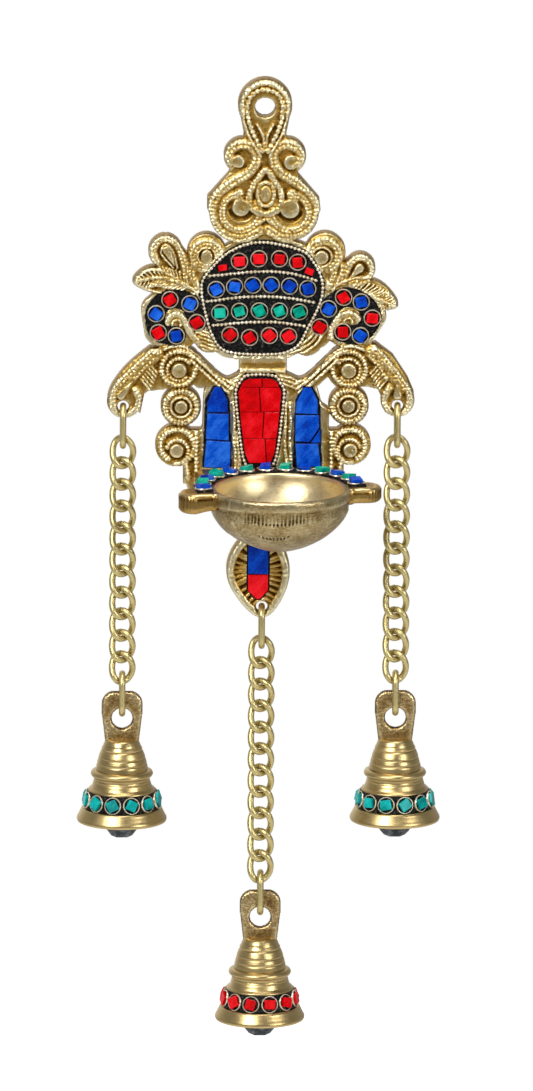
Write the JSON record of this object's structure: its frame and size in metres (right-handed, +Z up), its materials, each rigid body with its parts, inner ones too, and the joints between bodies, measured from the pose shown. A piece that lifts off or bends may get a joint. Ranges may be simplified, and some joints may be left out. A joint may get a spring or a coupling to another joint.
{
  "type": "hanging chain oil lamp",
  "caption": "Wall-hung cast brass oil lamp with an open oil bowl, lac inlay with coloured stones, and bells with clappers hanging on curb chains.",
  "frame": {"origin": "centre of the hanging eye's hole, at the wall", "axes": "+Z up, +X to the viewer's right, -Y out of the wall towards the viewer"},
  "size_m": [0.1243, 0.0709, 0.3346],
  "materials": {
    "cast_brass": "antique cast, worn pale on the ridges",
    "bowl_brass": "matte outside, polished inside",
    "chain_brass": "satin olive gold",
    "bell_brass": "turned, lightly aged",
    "wire_brass": "drawn wire, bright",
    "lac": "black lac, uneven",
    "red_stone": "glossy chip",
    "blue_stone": "glossy chip",
    "turquoise_stone": "satin chip",
    "iron": "dull grey"
  },
  "bodies": {
    "plaque": {"back_plate": "cast_brass", "oil_bowl": "bowl_brass", "lac_beds": "lac", "ledge_lac": "lac", "bead_wires": "wire_brass", "bezel_rings": "wire_brass", "red_stones": "red_stone", "blue_stones": "blue_stone", "green_stones": "turquoise_stone"},
    "left_top_link": {"left_top_link": "chain_brass"},
    "left_link_01": {"left_link_01": "chain_brass"},
    "left_link_02": {"left_link_02": "chain_brass"},
    "left_link_03": {"left_link_03": "chain_brass"},
    "left_link_04": {"left_link_04": "chain_brass"},
    "left_link_05": {"left_link_05": "chain_brass"},
    "left_link_06": {"left_link_06": "chain_brass"},
    "left_link_07": {"left_link_07": "chain_brass"},
    "left_link_08": {"left_link_08": "chain_brass"},
    "left_link_09": {"left_link_09": "chain_brass"},
    "left_link_10": {"left_link_10": "chain_brass"},
    "left_link_11": {"left_link_11": "chain_brass"},
    "left_bottom_link": {"left_bottom_link": "chain_brass"},
    "left_bell": {"left_bell": "bell_brass", "left_bell_lac": "lac", "left_bell_settings": "turquoise_stone"},
    "left_clapper": {"left_clapper": "iron"},
    "center_top_link": {"center_top_link": "chain_brass"},
    "center_link_01": {"center_link_01": "chain_brass"},
    "center_link_02": {"center_link_02": "chain_brass"},
    "center_link_03": {"center_link_03": "chain_brass"},
    "center_link_04": {"center_link_04": "chain_brass"},
    "center_link_05": {"center_link_05": "chain_brass"},
    "center_link_06": {"center_link_06": "chain_brass"},
    "center_link_07": {"center_link_07": "chain_brass"},
    "center_link_08": {"center_link_08": "chain_brass"},
    "center_link_09": {"center_link_09": "chain_brass"},
    "center_link_10": {"center_link_10": "chain_brass"},
    "center_link_11": {"center_link_11": "chain_brass"},
    "center_bottom_link": {"center_bottom_link": "chain_brass"},
    "center_bell": {"center_bell": "bell_brass", "center_bell_lac": "lac", "center_bell_settings": "red_stone"},
    "center_clapper": {"center_clapper": "iron"},
    "right_top_link": {"right_top_link": "chain_brass"},
    "right_link_01": {"right_link_01": "chain_brass"},
    "right_link_02": {"right_link_02": "chain_brass"},
    "right_link_03": {"right_link_03": "chain_brass"},
    "right_link_04": {"right_link_04": "chain_brass"},
    "right_link_05": {"right_link_05": "chain_brass"},
    "right_link_06": {"right_link_06": "chain_brass"},
    "right_link_07": {"right_link_07": "chain_brass"},
    "right_link_08": {"right_link_08": "chain_brass"},
    "right_link_09": {"right_link_09": "chain_brass"},
    "right_link_10": {"right_link_10": "chain_brass"},
    "right_link_11": {"right_link_11": "chain_brass"},
    "right_bottom_link": {"right_bottom_link": "chain_brass"},
    "right_bell": {"right_bell": "bell_brass", "right_bell_lac": "lac", "right_bell_settings": "turquoise_stone"},
    "right_clapper": {"right_clapper": "iron"}
  },
  "joints": [
    {"name": "left_chain_swing", "type": "hinge", "parent": "plaque", "child": "left_top_link", "pos_m": [-0.0479, -0.00475, -0.104], "axis": [0, -1, 0], "range_deg": [-45, 9]},
    {"name": "center_chain_swing", "type": "hinge", "parent": "plaque", "child": "center_top_link", "pos_m": [-0.0003, -0.00475, -0.174], "axis": [0, -1, 0], "range_deg": [-16, 16]},
    {"name": "right_chain_swing", "type": "hinge", "parent": "plaque", "child": "right_top_link", "pos_m": [0.0456, -0.00475, -0.1036], "axis": [0, -1, 0], "range_deg": [-9, 45]},
    {"name": "left_bell_swing", "type": "hinge", "parent": "left_bottom_link", "child": "left_bell", "pos_m": [-0.0479, -0.00475, -0.21166], "axis": [0, -1, 0], "range_deg": [-30, 30]},
    {"name": "center_bell_swing", "type": "hinge", "parent": "center_bottom_link", "child": "center_bell", "pos_m": [-0.0003, -0.00475, -0.28166], "axis": [0, -1, 0], "range_deg": [-30, 30]},
    {"name": "right_bell_swing", "type": "hinge", "parent": "right_bottom_link", "child": "right_bell", "pos_m": [0.0456, -0.00475, -0.21126], "axis": [0, -1, 0], "range_deg": [-30, 30]},
    {"name": "left_clapper_swing", "type": "hinge", "parent": "left_bell", "child": "left_clapper", "pos_m": [-0.0479, -0.00475, -0.22619], "axis": [0, -1, 0], "range_deg": [-12, 12]},
    {"name": "center_clapper_swing", "type": "hinge", "parent": "center_bell", "child": "center_clapper", "pos_m": [-0.0003, -0.00475, -0.29619], "axis": [0, -1, 0], "range_deg": [-12, 12]},
    {"name": "right_clapper_swing", "type": "hinge", "parent": "right_bell", "child": "right_clapper", "pos_m": [0.0456, -0.00475, -0.22579], "axis": [0, -1, 0], "range_deg": [-12, 12]},
    {"name": "left_link_01_bend", "type": "hinge", "parent": "left_top_link", "child": "left_link_01", "pos_m": [-0.0479, -0.00475, -0.115], "axis": [-0.7809, 0.6247, 0], "range_deg": [-12, 12]},
    {"name": "left_link_02_bend", "type": "hinge", "parent": "left_link_01", "child": "left_link_02", "pos_m": [-0.0479, -0.00475, -0.12496], "axis": [0.7809, 0.6247, 0], "range_deg": [-18, 18]},
    {"name": "left_link_03_bend", "type": "hinge", "parent": "left_link_02", "child": "left_link_03", "pos_m": [-0.0479, -0.00475, -0.13012], "axis": [0.7809, -0.6247, 0], "range_deg": [-18, 18]},
    {"name": "left_link_04_bend", "type": "hinge", "parent": "left_link_03", "child": "left_link_04", "pos_m": [-0.0479, -0.00475, -0.14008], "axis": [-0.7809, -0.6247, 0], "range_deg": [-18, 18]},
    {"name": "left_link_05_bend", "type": "hinge", "parent": "left_link_04", "child": "left_link_05", "pos_m": [-0.0479, -0.00475, -0.14524], "axis": [-0.7809, 0.6247, 0], "range_deg": [-18, 18]},
    {"name": "left_link_06_bend", "type": "hinge", "parent": "left_link_05", "child": "left_link_06", "pos_m": [-0.0479, -0.00475, -0.1552], "axis": [0.7809, 0.6247, 0], "range_deg": [-18, 18]},
    {"name": "left_link_07_bend", "type": "hinge", "parent": "left_link_06", "child": "left_link_07", "pos_m": [-0.0479, -0.00475, -0.16036], "axis": [0.7809, -0.6247, 0], "range_deg": [-18, 18]},
    {"name": "left_link_08_bend", "type": "hinge", "parent": "left_link_07", "child": "left_link_08", "pos_m": [-0.0479, -0.00475, -0.17032], "axis": [-0.7809, -0.6247, 0], "range_deg": [-18, 18]},
    {"name": "left_link_09_bend", "type": "hinge", "parent": "left_link_08", "child": "left_link_09", "pos_m": [-0.0479, -0.00475, -0.17548], "axis": [-0.7809, 0.6247, 0], "range_deg": [-18, 18]},
    {"name": "left_link_10_bend", "type": "hinge", "parent": "left_link_09", "child": "left_link_10", "pos_m": [-0.0479, -0.00475, -0.18544], "axis": [0.7809, 0.6247, 0], "range_deg": [-18, 18]},
    {"name": "left_link_11_bend", "type": "hinge", "parent": "left_link_10", "child": "left_link_11", "pos_m": [-0.0479, -0.00475, -0.1906], "axis": [0.7809, -0.6247, 0], "range_deg": [-18, 18]},
    {"name": "left_bottom_link_bend", "type": "hinge", "parent": "left_link_11", "child": "left_bottom_link", "pos_m": [-0.0479, -0.00475, -0.20056], "axis": [0.7809, 0.6247, 0], "range_deg": [-12, 12]},
    {"name": "center_link_01_bend", "type": "hinge", "parent": "center_top_link", "child": "center_link_01", "pos_m": [-0.0003, -0.00475, -0.185], "axis": [-0.7809, 0.6247, 0], "range_deg": [-12, 12]},
    {"name": "center_link_02_bend", "type": "hinge", "parent": "center_link_01", "child": "center_link_02", "pos_m": [-0.0003, -0.00475, -0.19496], "axis": [0.7809, 0.6247, 0], "range_deg": [-18, 18]},
    {"name": "center_link_03_bend", "type": "hinge", "parent": "center_link_02", "child": "center_link_03", "pos_m": [-0.0003, -0.00475, -0.20012], "axis": [0.7809, -0.6247, 0], "range_deg": [-18, 18]},
    {"name": "center_link_04_bend", "type": "hinge", "parent": "center_link_03", "child": "center_link_04", "pos_m": [-0.0003, -0.00475, -0.21008], "axis": [-0.7809, -0.6247, 0], "range_deg": [-18, 18]},
    {"name": "center_link_05_bend", "type": "hinge", "parent": "center_link_04", "child": "center_link_05", "pos_m": [-0.0003, -0.00475, -0.21524], "axis": [-0.7809, 0.6247, 0], "range_deg": [-18, 18]},
    {"name": "center_link_06_bend", "type": "hinge", "parent": "center_link_05", "child": "center_link_06", "pos_m": [-0.0003, -0.00475, -0.2252], "axis": [0.7809, 0.6247, 0], "range_deg": [-18, 18]},
    {"name": "center_link_07_bend", "type": "hinge", "parent": "center_link_06", "child": "center_link_07", "pos_m": [-0.0003, -0.00475, -0.23036], "axis": [0.7809, -0.6247, 0], "range_deg": [-18, 18]},
    {"name": "center_link_08_bend", "type": "hinge", "parent": "center_link_07", "child": "center_link_08", "pos_m": [-0.0003, -0.00475, -0.24032], "axis": [-0.7809, -0.6247, 0], "range_deg": [-18, 18]},
    {"name": "center_link_09_bend", "type": "hinge", "parent": "center_link_08", "child": "center_link_09", "pos_m": [-0.0003, -0.00475, -0.24548], "axis": [-0.7809, 0.6247, 0], "range_deg": [-18, 18]},
    {"name": "center_link_10_bend", "type": "hinge", "parent": "center_link_09", "child": "center_link_10", "pos_m": [-0.0003, -0.00475, -0.25544], "axis": [0.7809, 0.6247, 0], "range_deg": [-18, 18]},
    {"name": "center_link_11_bend", "type": "hinge", "parent": "center_link_10", "child": "center_link_11", "pos_m": [-0.0003, -0.00475, -0.2606], "axis": [0.7809, -0.6247, 0], "range_deg": [-18, 18]},
    {"name": "center_bottom_link_bend", "type": "hinge", "parent": "center_link_11", "child": "center_bottom_link", "pos_m": [-0.0003, -0.00475, -0.27056], "axis": [0.7809, 0.6247, 0], "range_deg": [-12, 12]},
    {"name": "right_link_01_bend", "type": "hinge", "parent": "right_top_link", "child": "right_link_01", "pos_m": [0.0456, -0.00475, -0.1146], "axis": [-0.7809, 0.6247, 0], "range_deg": [-12, 12]},
    {"name": "right_link_02_bend", "type": "hinge", "parent": "right_link_01", "child": "right_link_02", "pos_m": [0.0456, -0.00475, -0.12456], "axis": [0.7809, 0.6247, 0], "range_deg": [-18, 18]},
    {"name": "right_link_03_bend", "type": "hinge", "parent": "right_link_02", "child": "right_link_03", "pos_m": [0.0456, -0.00475, -0.12972], "axis": [0.7809, -0.6247, 0], "range_deg": [-18, 18]},
    {"name": "right_link_04_bend", "type": "hinge", "parent": "right_link_03", "child": "right_link_04", "pos_m": [0.0456, -0.00475, -0.13968], "axis": [-0.7809, -0.6247, 0], "range_deg": [-18, 18]},
    {"name": "right_link_05_bend", "type": "hinge", "parent": "right_link_04", "child": "right_link_05", "pos_m": [0.0456, -0.00475, -0.14484], "axis": [-0.7809, 0.6247, 0], "range_deg": [-18, 18]},
    {"name": "right_link_06_bend", "type": "hinge", "parent": "right_link_05", "child": "right_link_06", "pos_m": [0.0456, -0.00475, -0.1548], "axis": [0.7809, 0.6247, 0], "range_deg": [-18, 18]},
    {"name": "right_link_07_bend", "type": "hinge", "parent": "right_link_06", "child": "right_link_07", "pos_m": [0.0456, -0.00475, -0.15996], "axis": [0.7809, -0.6247, 0], "range_deg": [-18, 18]},
    {"name": "right_link_08_bend", "type": "hinge", "parent": "right_link_07", "child": "right_link_08", "pos_m": [0.0456, -0.00475, -0.16992], "axis": [-0.7809, -0.6247, 0], "range_deg": [-18, 18]},
    {"name": "right_link_09_bend", "type": "hinge", "parent": "right_link_08", "child": "right_link_09", "pos_m": [0.0456, -0.00475, -0.17508], "axis": [-0.7809, 0.6247, 0], "range_deg": [-18, 18]},
    {"name": "right_link_10_bend", "type": "hinge", "parent": "right_link_09", "child": "right_link_10", "pos_m": [0.0456, -0.00475, -0.18504], "axis": [0.7809, 0.6247, 0], "range_deg": [-18, 18]},
    {"name": "right_link_11_bend", "type": "hinge", "parent": "right_link_10", "child": "right_link_11", "pos_m": [0.0456, -0.00475, -0.1902], "axis": [0.7809, -0.6247, 0], "range_deg": [-18, 18]},
    {"name": "right_bottom_link_bend", "type": "hinge", "parent": "right_link_11", "child": "right_bottom_link", "pos_m": [0.0456, -0.00475, -0.20016], "axis": [0.7809, 0.6247, 0], "range_deg": [-12, 12]}
  ]
}
